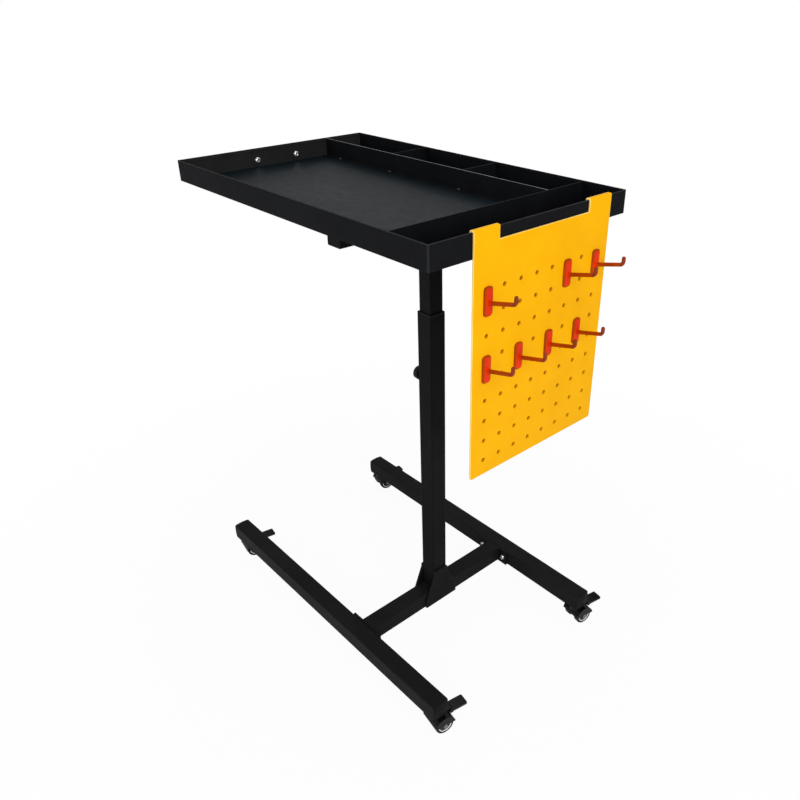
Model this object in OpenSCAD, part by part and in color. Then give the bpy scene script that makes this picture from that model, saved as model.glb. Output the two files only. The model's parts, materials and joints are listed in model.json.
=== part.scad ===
// Mobile lift table: a sheet steel tray on a telescopic square column, an H-shaped
// tube base on four swivel casters, and a hang-on pegboard with plastic hooks.
// Millimetres. The floor is z = 0 and the origin is the middle of the overall footprint.
// +X is the end that carries the pegboard, -Y is the front and +Z is up.

/* [Tray] */
// Outer length of the tray
tray_len = 750; // [640:5:860]
// Outer width of the tray
tray_wid = 450; // [420:5:500]
// Height of the rim above the floor, with the column at its stored height
rim_h = 993; // [960:1:1030]
// Depth of the tray from rim to underside
wall_h = 39.5; // [32:0.5:55]
// Sheet thickness of the tray and its dividers
sheet_t = 1.5; // [1:0.1:2]
// Height of the folded hem inside the rim
hem_h = 6; // [4:0.5:10]
// Corner radius of the tray in plan
tray_corner_r = 3; // [2.5:0.5:8]

/* [Dividers] */
// Width of the strip compartment behind the pegboard, outer wall to divider
strip_wid = 92; // [70:1:120]
// Width of the back compartments, outer wall to divider
back_wid = 95; // [75:1:120]
// Length of the right back compartment, cross divider to partition
right_bay = 214; // [190:1:240]
// Length of the middle back compartment, partition to partition
mid_bay = 208; // [150:1:215]
// Drop of the dividers below the rim
divider_drop = 1; // [0.5:0.5:6]
// Width of the folded foot of a divider
divider_foot = 12; // [9:0.5:16]
// Width of the folded foot of a partition
partition_foot = 10; // [8:0.5:14]
// Distance of the first divider screw from the left outer wall
first_screw = 62; // [40:1:100]
// Shank diameter of a divider screw
divider_screw_d = 4; // [3:0.5:5]
// Head diameter of a divider screw
divider_head_d = 7.5; // [6.5:0.5:9]
// Head height of a divider screw
divider_head_h = 2.2; // [1.5:0.1:3]

/* [Handle] */
// Distance between the two handle bolts
handle_pitch = 96; // [80:1:160]
// Reach of the handle from the wall
handle_reach = 36; // [32:1:50]
// Diameter of the handle bar
handle_d = 10; // [8:0.5:12]
// Bend radius of the handle bar, to its centre line
handle_bend_r = 12; // [9:0.5:16]
// Drop of the handle's centre below the rim
handle_drop = 25; // [18:1:28]
// Head diameter of a handle bolt
handle_head_d = 15; // [10:0.5:16]
// Head height of a handle bolt
handle_head_h = 4.5; // [3:0.5:6]
// Shank diameter of a handle bolt
handle_bolt_d = 5; // [4:0.5:6]
// Depth of the thread in a handle leg
handle_thread_h = 12; // [8:1:16]

/* [Column] */
// Distance of the column's axis from the tray's right wall
column_inset = 250; // [225:1:258]
// Outer size of the lower, outer column tube
outer_size = 38; // [37:0.5:42]
// Wall of the outer column tube
outer_wall = 1.5; // [1.2:0.1:1.7]
// Outer size of the upper, inner column tube
inner_size = 32; // [26:0.5:32]
// Wall of the inner column tube
inner_wall = 1.5; // [1:0.1:2.5]
// Corner radius of the square tubes
tube_r = 2.5; // [2:0.1:4]
// Height of the top of the outer column, with its collar
column_top_h = 760; // [700:1:764]
// Height of the inner column's lower end at the stored height
inner_foot_h = 300; // [295:1:420]
// Height of the bush's collar
collar_h = 3; // [2:0.5:5]
// Depth of the bush inside the outer column
bush_h = 40; // [25:1:60]
// Running clearance of the bush round the inner column
bush_gap = 0.2; // [0.1:0.05:0.4]
// Height of the glide block under the inner column
glide_h = 8; // [5:0.5:12]
// Length of the glide's plug inside the inner column
glide_plug_h = 20; // [12:1:40]
// Size of the support bar under the tray, along the tray
bar_w = 35; // [30:1:50]
// Height of the support bar
bar_h = 25; // [20:1:30]
// Wall of the support bar
bar_wall = 2; // [1.5:0.1:3]
// Distance of the support bar's ends from the tray's outer walls
bar_inset = 18; // [10:1:60]
// Length of the head plate on the inner column, across the tray
head_plate_len = 90; // [75:1:140]
// Thickness of the head plate
head_plate_t = 4; // [3:0.5:6]
// Distance between the two head bolts
head_pitch = 66; // [56:1:70]
// Shank diameter of a head bolt
head_bolt_d = 6; // [5:0.5:8]
// Distance between the tray screws along the tray
tray_screw_dx = 18; // [12:1:20]
// Distance between the tray screws across the tray
tray_screw_dy = 340; // [240:5:380]
// Shank diameter of a tray screw
tray_screw_d = 5; // [4:0.5:6]
// Diameter of a tray screw's flush head
tray_head_d = 9; // [8:0.5:12]

/* [Lock knob] */
// Height of the lock knob above the floor
knob_h = 617; // [500:1:690]
// Diameter of the knob
knob_d = 28; // [24:1:40]
// Length of the knob
knob_len = 20; // [16:1:30]
// Length of the threaded boss on the column
boss_len = 8; // [5:0.5:14]
// Diameter of the threaded boss
boss_d = 16; // [13:0.5:20]
// Diameter of the lock stud
stud_d = 8; // [6:0.5:10]
// Length of the stud held in the knob
stud_grip = 12; // [8:0.5:14]

/* [Base] */
// Distance of each foot's centre line from the middle of the table
foot_y = 218; // [190:1:240]
// Length of a foot tube
foot_len = 758; // [650:1:850]
// Shift of the feet towards the pegboard end
foot_shift = 5; // [-20:1:20]
// Outer size of the foot tubes and of the crossbar
foot_size = 38; // [34:0.5:42]
// Wall of the foot tubes and of the crossbar
foot_wall = 2; // [1.5:0.1:2.5]
// Height of the feet's underside above the floor
foot_under_h = 49; // [48.6:0.1:56]
// Crown of a foot end cap
cap_crown = 5; // [4:0.5:8]
// Radius of the foot end cap's crown
cap_crown_r = 80; // [75:5:150]
// Length of a cap's plug inside its tube
cap_plug = 4; // [2:0.5:5]
// Length of an end flange of the crossbar
flange_len = 90; // [86:1:120]
// Thickness of an end flange
flange_t = 5; // [3:0.5:8]
// Distance between the bolts of an end flange
flange_pitch = 66; // [60:1:70]
// Height of the flange bolts above the feet's underside
flange_bolt_h = 19; // [14:0.5:21]
// Shank diameter of a flange bolt
flange_bolt_d = 8; // [6:0.5:10]
// Head diameter of a flange bolt
flange_head_d = 13; // [11:0.5:14]
// Head height of a flange bolt
flange_head_h = 5; // [3:0.5:8]
// Thickness of a cheek plate
cheek_t = 5; // [3:0.5:8]
// Half width of a cheek plate at its foot
cheek_half = 45; // [30:1:60]
// Height of a cheek plate's upright lower edge
cheek_edge_h = 18; // [10:1:30]
// Height at which a cheek plate's slope meets the column
cheek_slope_h = 82; // [60:1:100]
// Overall height of a cheek plate
cheek_h = 90; // [84:1:120]

/* [Casters] */
// Distance of a caster's stem from the foot tube's end
caster_inset = 17; // [12.5:0.5:40]
// Turn of the casters about their stems, as they stand
caster_turn = -10; // [-20:1:20]
// Radius of a wheel
wheel_r = 20; // [18:0.5:20.5]
// Width of one wheel
wheel_w = 14; // [10:0.5:16]
// Side play of each wheel beside the hub
wheel_play = 1; // [0.5:0.1:2]
// Distance of the axle from the stem's axis
trail = 11.5; // [4:0.5:12]
// Diameter of the axle
axle_d = 6; // [5:0.5:8]
// Width of the hub between the two wheels
hub_w = 15; // [12:0.5:18]
// Radius of the hub round the axle
hub_r = 12; // [9:0.5:15]
// Radius of a wheel's recessed side
wheel_rim_r = 16; // [13:0.5:16]
// Radius of a wheel's raised middle
wheel_nave_r = 8; // [6:0.5:10]
// Clearance between a wheel and its hood
hood_gap = 1; // [0.8:0.1:1.5]
// Wall of the hood
hood_wall = 2; // [1.5:0.1:2.5]
// Height of the hood's lower edge above the floor
hood_edge_h = 23; // [20:0.5:30]
// Height of the top of the hood's neck above the floor
neck_h = 48; // [47:0.1:48.2]
// Diameter of the hood's neck
neck_d = 22; // [18:0.5:28]
// Diameter of the stem
stem_d = 8; // [7:0.5:9]
// Diameter of the stem's collar
stem_collar_d = 18; // [14:0.5:24]
// Reach of the brake pedal's tip from the stem's axis
pedal_reach = 71; // [62:0.5:78]
// Width of the brake pedal
pedal_w = 24; // [22:0.5:30]
// Thickness of the brake pedal
pedal_t = 4; // [3:0.5:5]
// Height of the pedal's pivot above the floor
pedal_pivot_h = 37; // [35:0.5:38]
// Diameter of the pedal's pivot pin
pedal_pin_d = 4; // [3:0.5:4]
// Radius of the pedal's eye round its pin
pedal_eye_r = 4.5; // [4:0.5:5]

/* [Pegboard] */
// Width of the pegboard
board_wid = 320; // [310:1:360]
// Shift of the pegboard's middle towards the back
board_shift = 19; // [-20:1:20]
// Drop of the pegboard's lower edge below the rim
board_drop = 424.5; // [410:0.5:460]
// Sheet thickness of the pegboard
board_t = 3; // [1:0.1:3]
// Corner radius at the lower corners
board_corner_r = 5; // [2:0.5:16]
// Drop of the top edge between the tabs below the rim
notch_drop = 18.5; // [10:0.5:24]
// Width of the front tab
front_tab = 54; // [40:1:80]
// Width of the back tab
back_tab = 57; // [40:1:80]
// Depth of a tab's lip inside the rim
lip_h = 10; // [7:0.5:12]
// Lift that frees the lips from the rim, left clear above the backing sheet
unhook = 14; // [13:0.5:16]
// Pitch of the rows of peg holes, which is the distance of a hook's two pegs
peg_pitch = 38; // [34:0.5:39]
// Pitch of the columns of peg holes
column_pitch = 37; // [34:0.5:39]
// Smallest distance of the outer peg holes from the pegboard's side and lower edges
peg_edge = 22; // [16:1:28]
// Diameter of a peg hole
peg_hole_d = 8; // [5:0.1:9]
// Drop of the first row of peg holes below the rim
first_row_drop = 91.5; // [84:0.5:94]
// Thickness of the backing sheet glued behind the pegboard
backing_t = 1; // [0.8:0.1:1.5]
// Distance of the backing sheet's edges from the pegboard's edges
backing_margin = 12; // [6:0.5:18]

/* [Hooks] */
// Width of a hook's back plate
hook_plate_w = 18; // [14:0.5:24]
// Height of a hook's back plate beyond its two pegs
hook_plate_over = 10; // [9.5:0.5:18]
// Thickness of a hook's back plate
hook_plate_t = 3; // [2:0.5:5]
// Corner radius of a hook's back plate
hook_plate_r = 5; // [3:0.5:7]
// Diameter of a hook's arm
hook_arm_d = 7; // [5:0.5:7]
// Reach of a hook from the pegboard
hook_reach = 62; // [40:1:90]
// Rise of a hook's arm
hook_rise = 14; // [0:1:20]
// Diameter of the ball at a hook's bend
hook_ball_d = 8; // [7.5:0.1:10]
// Height of a hook's upturned tip above its bend
hook_tip_h = 14; // [6:1:24]
// Drop of the arm's root below the plate's middle
hook_root_drop = 3; // [0:0.5:6]
// Length of a hook's pegs behind the pegboard
peg_tail = 5; // [3:0.5:8]

/* [Hidden] */
$fn = 48;
SIDES = ["front_left", "front_right", "back_left", "back_right"];
// Each hook's name, peg column and upper peg row, counted from the front and from the top
HOOKS = [
  ["hook_top_1", 1, 1],
  ["hook_top_6", 6, 1],
  ["hook_top_8", 8, 1],
  ["hook_low_1", 1, 4],
  ["hook_low_3", 3, 4],
  ["hook_low_5", 5, 4],
  ["hook_low_7", 7, 4]
];

// Clearances that several pieces share
slip = 0.3;
bolt_slip = 0.1;
spin_slip = 0.05;
eps = 0.01;

// Heights of the tray
under_h = rim_h - wall_h;
floor_h = under_h + sheet_t;
divider_top = rim_h - divider_drop;
hem_t = 2 * sheet_t;
bar_under_h = under_h - bar_h;
inner_top_h = bar_under_h - head_plate_t;

// Plan of the tray, from its middle
half_len = tray_len / 2;
half_wid = tray_wid / 2;
column_x = half_len - column_inset;
inside_len = half_len - hem_t - slip;
inside_wid = half_wid - hem_t - slip;
cross_x = half_len - strip_wid;
long_y = half_wid - back_wid;
partition_x = [cross_x - right_bay - mid_bay, cross_x - right_bay];
screw_x = [first_screw - half_len, partition_x[0], partition_x[1]];
screw_y = long_y - sheet_t / 2 - divider_foot / 2;

// Handle
handle_h = rim_h - handle_drop;

// Column and base
column_foot_h = foot_under_h + foot_size;
tube_top_h = column_top_h - collar_h;
outer_bore = outer_size - 2 * outer_wall;
inner_bore = inner_size - 2 * inner_wall;
foot_inner_y = foot_y - foot_size / 2;
foot_outer_y = foot_y + foot_size / 2;
foot_left_x = foot_shift - foot_len / 2;
foot_right_x = foot_shift + foot_len / 2;
crossbar_half = foot_inner_y - flange_t;
weld_nut_d = 15;
weld_nut_h = 6;
stud_pad_gap = 0.1;
knob_gap = 1;

// Casters, from the stem's axis at the floor, with the pedal towards +Y
caster_x = [foot_left_x + caster_inset, foot_right_x - caster_inset];
hood_r = wheel_r + hood_gap + hood_wall;
wheel_inner_x = hub_w / 2 + wheel_play;
wheel_outer_x = wheel_inner_x + wheel_w;
hood_half_w = wheel_outer_x + hood_gap + hood_wall / 2;
axle_half = wheel_outer_x + wheel_play / 2;
axle_head_r = axle_d / 2 + 2;
axle_head_t = 1.5;
socket_h = 14;
socket_foot_h = neck_h - socket_h;
stem_end = 2;
pedal_rise = pedal_pivot_h - wheel_r;
pedal_pivot_r = hood_r + pedal_eye_r + slip + 0.2;
pedal_pivot_y = trail + sqrt(pow(pedal_pivot_r, 2) - pow(pedal_rise, 2));
pedal_arm_x = hub_w / 2 + slip;
pedal_arm_w = pedal_w / 2 - pedal_arm_x;

// Pegboard
board_back_x = half_len + slip;
board_face_x = board_back_x + board_t;
board_y0 = board_shift - board_wid / 2;
board_y1 = board_shift + board_wid / 2;
board_under_h = rim_h - board_drop;
board_top_h = rim_h - notch_drop;
backing_gap = 2.5;
backing_top_h = under_h - unhook - backing_gap;
// Peg holes in a row, and rows of them
peg_columns = floor((board_wid - 2 * peg_edge) / column_pitch) + 1;
peg_rows = floor((board_drop - first_row_drop - peg_edge) / peg_pitch) + 1;

// The origin is the middle of the overall footprint
board_end_x = board_face_x + hook_reach;
handle_end_x = -half_len - handle_reach;
pedal_end_y = foot_y + pedal_reach * cos(caster_turn) + pedal_w / 2 * abs(sin(caster_turn));
table_x = -(board_end_x + handle_end_x) / 2;
table_y = -(pedal_end_y - foot_outer_y) / 2;

function peg_y(column) = board_shift + (column - (peg_columns + 1) / 2) * column_pitch;
function peg_z(row) = rim_h - first_row_drop - (row - 1) * peg_pitch;

module at_table() {
  translate([table_x, table_y, 0]) children();
}

module at_column() {
  at_table() translate([column_x, 0, 0]) children();
}

module rounded_rect(size_x, size_y, r) {
  square([size_x - 2 * r, size_y], center = true);
  square([size_x, size_y - 2 * r], center = true);
  for (sx = [-1, 1], sy = [-1, 1])
    translate([sx * (size_x / 2 - r), sy * (size_y / 2 - r)]) circle(r);
}

module rect_tube(size_x, size_y, wall, len) {
  linear_extrude(len)
    difference() {
      rounded_rect(size_x, size_y, tube_r);
      rounded_rect(size_x - 2 * wall, size_y - 2 * wall, tube_r - wall / 2);
    }
}

// Screw with its shank from z = 0 down and a domed head from z = 0 up
module dome_screw(shank_d, shank_len, head_d, head_h) {
  dome_r = (pow(head_d / 2, 2) + pow(head_h, 2)) / (2 * head_h);
  intersection() {
    cylinder(d = head_d, h = head_h);
    translate([0, 0, head_h - dome_r]) sphere(dome_r);
  }
  translate([0, 0, -shank_len]) cylinder(d = shank_d, h = shank_len + eps);
}

// Tray

module tray_screw_points() {
  for (sx = [-1, 1], sy = [-1, 1])
    translate([column_x + sx * tray_screw_dx / 2, sy * tray_screw_dy / 2, 0]) children();
}

module tray_pan() {
  color([0.14, 0.15, 0.16])
    at_table()
      difference() {
        union() {
          translate([0, 0, under_h])
            linear_extrude(wall_h)
              difference() {
                rounded_rect(tray_len, tray_wid, tray_corner_r);
                rounded_rect(tray_len - 2 * sheet_t, tray_wid - 2 * sheet_t,
                             tray_corner_r - sheet_t / 2);
              }
          translate([0, 0, under_h])
            linear_extrude(sheet_t) rounded_rect(tray_len, tray_wid, tray_corner_r);
          translate([0, 0, rim_h - hem_h])
            linear_extrude(hem_h)
              difference() {
                rounded_rect(tray_len - sheet_t, tray_wid - sheet_t, tray_corner_r - sheet_t / 2);
                rounded_rect(tray_len - 2 * hem_t, tray_wid - 2 * hem_t, tray_corner_r / 3);
              }
        }
        for (sy = [-1, 1])
          translate([-half_len - 1, sy * handle_pitch / 2, handle_h])
            rotate([0, 90, 0]) cylinder(d = handle_bolt_d + 2 * bolt_slip, h = sheet_t + 2);
        for (x = screw_x)
          translate([x, screw_y, under_h - 1])
            cylinder(d = divider_screw_d + 2 * bolt_slip, h = sheet_t + 2);
        tray_screw_points() {
          translate([0, 0, under_h - 1])
            cylinder(d = tray_screw_d + 2 * bolt_slip, h = sheet_t + 2);
          translate([0, 0, under_h])
            cylinder(d1 = tray_screw_d + 2 * bolt_slip, d2 = tray_head_d + 2 * bolt_slip,
                     h = sheet_t + eps);
        }
      }
}

// Upright sheet with its foot folded to one side, running along X from 0 to len
module angle_sheet(len, foot) {
  translate([0, -sheet_t / 2, floor_h]) cube([len, sheet_t, divider_top - floor_h]);
  translate([0, -foot - sheet_t / 2, floor_h]) cube([len, foot + sheet_t / 2, sheet_t]);
}

module cross_divider() {
  color([0.12, 0.13, 0.14])
    at_table() translate([cross_x, -inside_wid, 0]) rotate(90)
      angle_sheet(2 * inside_wid, divider_foot);
}

module long_divider() {
  color([0.12, 0.13, 0.14])
    at_table()
      difference() {
        translate([-inside_len, long_y, 0])
          angle_sheet(cross_x - sheet_t / 2 + inside_len, divider_foot);
        for (x = screw_x)
          translate([x, screw_y, floor_h - 1])
            cylinder(d = divider_screw_d + 2 * bolt_slip, h = sheet_t + 2);
      }
}

module partition(x) {
  color([0.12, 0.13, 0.14])
    at_table() translate([x, long_y + sheet_t / 2, 0]) rotate(90)
      angle_sheet(inside_wid - long_y - sheet_t / 2, partition_foot);
}

module left_partition() {
  partition(partition_x[0]);
}

module right_partition() {
  partition(partition_x[1]);
}

divider_nut_h = 3;
module divider_screws() {
  color("black")
    at_table()
      for (x = screw_x)
        translate([x, screw_y, floor_h + sheet_t])
          dome_screw(divider_screw_d, 2 * sheet_t + divider_nut_h + 1,
                     divider_head_d, divider_head_h);
}

module divider_nuts() {
  color("dimgray")
    at_table()
      for (x = screw_x)
        translate([x, screw_y, under_h - divider_nut_h])
          difference() {
            cylinder(d = divider_head_d + 0.5, h = divider_nut_h, $fn = 6);
            translate([0, 0, -1])
              cylinder(d = divider_screw_d + 2 * spin_slip, h = divider_nut_h + 2);
          }
}

// Bow handle on the left wall, outside
module tray_handle() {
  bar_x = -half_len - handle_reach + handle_d / 2;
  leg_len = handle_reach - handle_d / 2 - handle_bend_r;
  color([0.1, 0.1, 0.11])
    at_table()
      translate([0, 0, handle_h])
        difference() {
          union() {
            for (sy = [-1, 1]) {
              translate([-half_len - leg_len, sy * handle_pitch / 2, 0])
                rotate([0, 90, 0]) cylinder(d = handle_d, h = leg_len);
              mirror([0, sy > 0 ? 0 : 1, 0])
                translate([bar_x + handle_bend_r, handle_pitch / 2 - handle_bend_r, 0])
                  rotate(90)
                    rotate_extrude(angle = 90)
                      translate([handle_bend_r, 0]) circle(d = handle_d);
            }
            translate([bar_x, handle_bend_r - handle_pitch / 2, 0])
              rotate([-90, 0, 0])
                cylinder(d = handle_d, h = handle_pitch - 2 * handle_bend_r);
          }
          for (sy = [-1, 1])
            translate([-half_len - handle_thread_h, sy * handle_pitch / 2, 0])
              rotate([0, 90, 0])
                cylinder(d = handle_bolt_d + 2 * spin_slip, h = handle_thread_h + 1);
        }
}

module handle_bolts() {
  color("silver")
    at_table()
      for (sy = [-1, 1])
        translate([-half_len + sheet_t, sy * handle_pitch / 2, handle_h])
          rotate([0, 90, 0])
            dome_screw(handle_bolt_d, sheet_t + handle_thread_h - 1,
                       handle_head_d, handle_head_h);
}

// Support bar and the head of the column

bar_len = tray_wid - 2 * bar_inset;
bar_cap_t = 3;
bar_cap_plug = 8;
// Width of a welded nut beyond its thread
nut_over = 5;
// Corner radius of a cap's plug
plug_r = 1;
head_bolt_head_d = 2 * head_bolt_d - 1;
head_bolt_head_h = 4;
bar_tube_len = bar_len - 2 * bar_cap_t;

module head_bolt_points() {
  for (sy = [-1, 1])
    translate([0, sy * head_pitch / 2, 0]) children();
}

module support_bar() {
  color([0.1, 0.1, 0.11])
    at_table()
      difference() {
        union() {
          translate([column_x, -bar_tube_len / 2, under_h - bar_h / 2])
            rotate([-90, 0, 0]) rect_tube(bar_w, bar_h, bar_wall, bar_tube_len);
          translate([column_x, 0, bar_under_h + bar_wall - eps])
            head_bolt_points() cylinder(d = head_bolt_d + nut_over, h = weld_nut_h, $fn = 6);
          tray_screw_points()
            translate([0, 0, under_h - bar_wall - weld_nut_h + eps])
              cylinder(d = tray_screw_d + nut_over, h = weld_nut_h, $fn = 6);
        }
        translate([column_x, 0, bar_under_h - 1])
          head_bolt_points()
            cylinder(d = head_bolt_d + 2 * bolt_slip, h = bar_wall + weld_nut_h + 2);
        tray_screw_points()
          translate([0, 0, under_h - bar_wall - weld_nut_h - 1])
            cylinder(d = tray_screw_d + 2 * bolt_slip, h = bar_wall + weld_nut_h + 2);
      }
}

module support_bar_caps() {
  color("black")
    at_table()
      for (sy = [-1, 1])
        translate([column_x, sy * bar_tube_len / 2, under_h - bar_h / 2])
          rotate([-90 * sy, 0, 0]) {
            linear_extrude(bar_cap_t) rounded_rect(bar_w, bar_h, tube_r);
            translate([0, 0, -bar_cap_plug])
              linear_extrude(bar_cap_plug + eps)
                rounded_rect(bar_w - 2 * bar_wall - slip, bar_h - 2 * bar_wall - slip,
                             plug_r);
          }
}

// Flush screws from the tray's floor into the support bar
module tray_screws() {
  shank_len = bar_wall + weld_nut_h - 1;
  color("black")
    at_table()
      tray_screw_points() {
        translate([0, 0, under_h])
          cylinder(d1 = tray_screw_d, d2 = tray_head_d, h = sheet_t);
        translate([0, 0, under_h - shank_len])
          cylinder(d = tray_screw_d, h = shank_len + eps);
      }
}

module head_plate() {
  color([0.1, 0.1, 0.11])
    at_column()
      difference() {
        translate([0, 0, inner_top_h])
          linear_extrude(head_plate_t) rounded_rect(outer_size, head_plate_len, tube_r);
        translate([0, 0, inner_top_h - 1])
          head_bolt_points() cylinder(d = head_bolt_d + 2 * bolt_slip, h = head_plate_t + 2);
      }
}

module head_bolts() {
  color("dimgray")
    at_column()
      head_bolt_points()
        translate([0, 0, inner_top_h])
          mirror([0, 0, 1])
            dome_screw(head_bolt_d, head_plate_t + bar_wall + weld_nut_h - 1,
                       head_bolt_head_d, head_bolt_head_h);
}

// Column

module inner_column() {
  color([0.08, 0.08, 0.09])
    at_column()
      translate([0, 0, inner_foot_h])
        rect_tube(inner_size, inner_size, inner_wall, inner_top_h - inner_foot_h);
}

module column_glide() {
  color([0.05, 0.05, 0.05])
    at_column() {
      translate([0, 0, inner_foot_h - glide_h])
        linear_extrude(glide_h)
          rounded_rect(outer_bore - 2 * bush_gap, outer_bore - 2 * bush_gap, tube_r);
      translate([0, 0, inner_foot_h - eps])
        linear_extrude(glide_plug_h)
          rounded_rect(inner_bore - slip, inner_bore - slip, tube_r - inner_wall / 2);
    }
}

module column_bush() {
  color([0.05, 0.05, 0.05])
    at_column()
      difference() {
        union() {
          translate([0, 0, tube_top_h])
            linear_extrude(collar_h) rounded_rect(outer_size, outer_size, tube_r);
          translate([0, 0, tube_top_h - bush_h])
            linear_extrude(bush_h + eps)
              rounded_rect(outer_bore - bush_gap, outer_bore - bush_gap,
                           tube_r - outer_wall / 2);
        }
        translate([0, 0, tube_top_h - bush_h - 1])
          linear_extrude(bush_h + collar_h + 2)
            rounded_rect(inner_size + 2 * bush_gap, inner_size + 2 * bush_gap,
                         tube_r + bush_gap);
      }
}

module outer_column() {
  color([0.1, 0.1, 0.11])
    at_column()
      difference() {
        translate([0, 0, column_foot_h])
          rect_tube(outer_size, outer_size, outer_wall, tube_top_h - column_foot_h);
        translate([-outer_size / 2 - 1, 0, knob_h])
          rotate([0, 90, 0]) cylinder(d = stud_d + 2 * bolt_slip, h = outer_wall + 2);
      }
}

// Lock knob on the left side of the column

module at_knob() {
  at_column()
    translate([-outer_size / 2, 0, knob_h]) rotate([0, -90, 0]) children();
}

module knob_boss() {
  color([0.1, 0.1, 0.11])
    at_knob()
      difference() {
        cylinder(d = boss_d, h = boss_len);
        translate([0, 0, -1]) cylinder(d = stud_d + 2 * spin_slip, h = boss_len + 2);
      }
}

stud_in = (outer_size - inner_size) / 2 - stud_pad_gap;
stud_out = boss_len + knob_gap + stud_grip;
module lock_stud() {
  color("silver")
    at_knob() translate([0, 0, -stud_in]) cylinder(d = stud_d, h = stud_in + stud_out);
}

knob_flutes = 8;
knob_flute_r = 4;
knob_flute_out = 2.6;
knob_hub_wall = 4;
knob_hub_h = 3;
knob_dome_over = 2;
module lock_knob() {
  knob_dome_r = (pow(knob_d / 2, 2) + pow(knob_len, 2)) / (2 * knob_len) + knob_dome_over;
  color([0.07, 0.07, 0.07])
    at_knob()
      translate([0, 0, boss_len + knob_gap])
        difference() {
          intersection() {
            union() {
              cylinder(d = stud_d + 2 * knob_hub_wall, h = knob_len);
              translate([0, 0, knob_hub_h]) cylinder(d = knob_d, h = knob_len - knob_hub_h);
            }
            translate([0, 0, knob_len - knob_dome_r]) sphere(knob_dome_r);
          }
          translate([0, 0, -1])
            cylinder(d = stud_d + 2 * spin_slip, h = stud_grip + 1 + spin_slip);
          for (i = [0:knob_flutes - 1])
            rotate(i * 360 / knob_flutes)
              translate([knob_d / 2 + knob_flute_out, 0, -1])
                cylinder(r = knob_flute_r, h = knob_len + 2);
        }
}

// Base

module cheek_plate(sx) {
  color([0.1, 0.1, 0.11])
    at_column()
      translate([sx * (outer_size + cheek_t) / 2, 0, foot_under_h])
        rotate([90, 0, 90])
          translate([0, 0, -cheek_t / 2])
            linear_extrude(cheek_t)
              polygon([
                [-cheek_half, 0], [cheek_half, 0], [cheek_half, cheek_edge_h],
                [outer_size / 2, cheek_slope_h], [outer_size / 2, cheek_h],
                [-outer_size / 2, cheek_h], [-outer_size / 2, cheek_slope_h],
                [-cheek_half, cheek_edge_h]
              ]);
}

module left_cheek_plate() {
  cheek_plate(-1);
}

module right_cheek_plate() {
  cheek_plate(1);
}

module crossbar() {
  color([0.12, 0.12, 0.13])
    at_column()
      translate([0, -crossbar_half, foot_under_h + foot_size / 2])
        rotate([-90, 0, 0]) rect_tube(outer_size, foot_size, foot_wall, 2 * crossbar_half);
}

module flange_bolt_points(sy) {
  for (sx = [-1, 1])
    translate([sx * flange_pitch / 2, sy * crossbar_half, foot_under_h + flange_bolt_h])
      rotate([90 * sy, 0, 0]) children();
}

module end_flange(sy) {
  color([0.12, 0.12, 0.13])
    at_column()
      difference() {
        translate([0, sy * (crossbar_half + flange_t / 2), foot_under_h + foot_size / 2])
          cube([flange_len, flange_t, foot_size], center = true);
        flange_bolt_points(sy)
          translate([0, 0, -flange_t - 1])
            cylinder(d = flange_bolt_d + 2 * bolt_slip, h = flange_t + 2);
      }
}

module front_flange() {
  end_flange(-1);
}

module back_flange() {
  end_flange(1);
}

module flange_bolts() {
  color("silver")
    at_column()
      for (sy = [-1, 1])
        flange_bolt_points(sy)
          dome_screw(flange_bolt_d, flange_t + foot_wall + weld_nut_h - 1,
                     flange_head_d, flange_head_h);
}

module foot(sy) {
  color([0.13, 0.14, 0.15])
    at_table()
      difference() {
        union() {
          translate([foot_left_x, sy * foot_y, foot_under_h + foot_size / 2])
            rotate([0, 90, 0]) rect_tube(foot_size, foot_size, foot_wall, foot_len);
          translate([column_x, 0, 0])
            flange_bolt_points(sy)
              translate([0, 0, -flange_t - foot_wall - weld_nut_h + eps])
                cylinder(d = weld_nut_d, h = weld_nut_h, $fn = 6);
          for (x = caster_x)
            translate([x, sy * foot_y, foot_under_h + foot_wall - eps])
              cylinder(d = weld_nut_d, h = weld_nut_h, $fn = 6);
        }
        translate([column_x, 0, 0])
          flange_bolt_points(sy)
            translate([0, 0, -flange_t - foot_wall - weld_nut_h - 1])
              cylinder(d = flange_bolt_d + 2 * bolt_slip, h = foot_wall + weld_nut_h + 2);
        for (x = caster_x)
          translate([x, sy * foot_y, foot_under_h - 1])
            cylinder(d = stem_d + 2 * bolt_slip, h = foot_wall + weld_nut_h + 2);
      }
}

module front_foot() {
  foot(-1);
}

module back_foot() {
  foot(1);
}

module foot_cap() {
  intersection() {
    linear_extrude(cap_crown) rounded_rect(foot_size, foot_size, tube_r);
    translate([0, 0, cap_crown - cap_crown_r]) sphere(cap_crown_r, $fn = 96);
  }
  translate([0, 0, -cap_plug])
    linear_extrude(cap_plug + eps)
      rounded_rect(foot_size - 2 * foot_wall - slip, foot_size - 2 * foot_wall - slip, plug_r);
}

module foot_caps() {
  color([0.05, 0.05, 0.05])
    at_table()
      for (sy = [-1, 1]) {
        translate([foot_right_x, sy * foot_y, foot_under_h + foot_size / 2])
          rotate([0, 90, 0]) foot_cap();
        translate([foot_left_x, sy * foot_y, foot_under_h + foot_size / 2])
          rotate([0, -90, 0]) foot_cap();
      }
}

// Casters: number 0 front left, 1 front right, 2 back left, 3 back right

module at_caster(i) {
  at_table()
    translate([caster_x[i % 2], (i < 2 ? -1 : 1) * foot_y, 0]) rotate(caster_turn) children();
}

module along_axle(half) {
  translate([-half, trail, wheel_r]) rotate([0, 90, 0]) children();
}

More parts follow.
